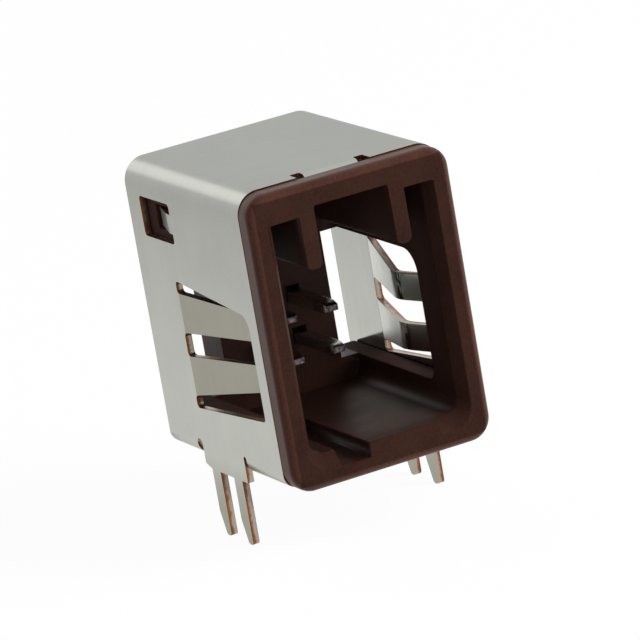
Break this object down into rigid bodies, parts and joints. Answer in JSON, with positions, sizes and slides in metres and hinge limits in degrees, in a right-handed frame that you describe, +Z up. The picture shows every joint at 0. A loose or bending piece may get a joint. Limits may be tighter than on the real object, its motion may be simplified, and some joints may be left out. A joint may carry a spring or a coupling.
{
  "type": "shielded automotive ethernet board connector",
  "caption": "Right-angle shielded header for a circuit board: a folded metal shell with spring tabs and forked legs round a keyed plastic socket with bent signal contacts.",
  "frame": {"origin": "on the circuit board's top, in the middle of the four shield prongs", "axes": "+Z up off the board, +Y the way a plug goes in, +X to the right when looking into the socket's back from the plug"},
  "size_m": [0.0098, 0.012, 0.0164],
  "materials": {
    "tin_plated_sheet": "satin tin plating on copper alloy, with bare copper-coloured cut edges",
    "brown_plastic": "fine satin moulding, dark brown",
    "contact_tin": "bright tin plating on copper alloy"
  },
  "bodies": {
    "root": {"shield_shell": "tin_plated_sheet", "housing": "brown_plastic", "contact_upper_left": "contact_tin", "contact_upper_right": "contact_tin", "contact_lower_left": "contact_tin", "contact_lower_right": "contact_tin"}
  },
  "joints": []
}
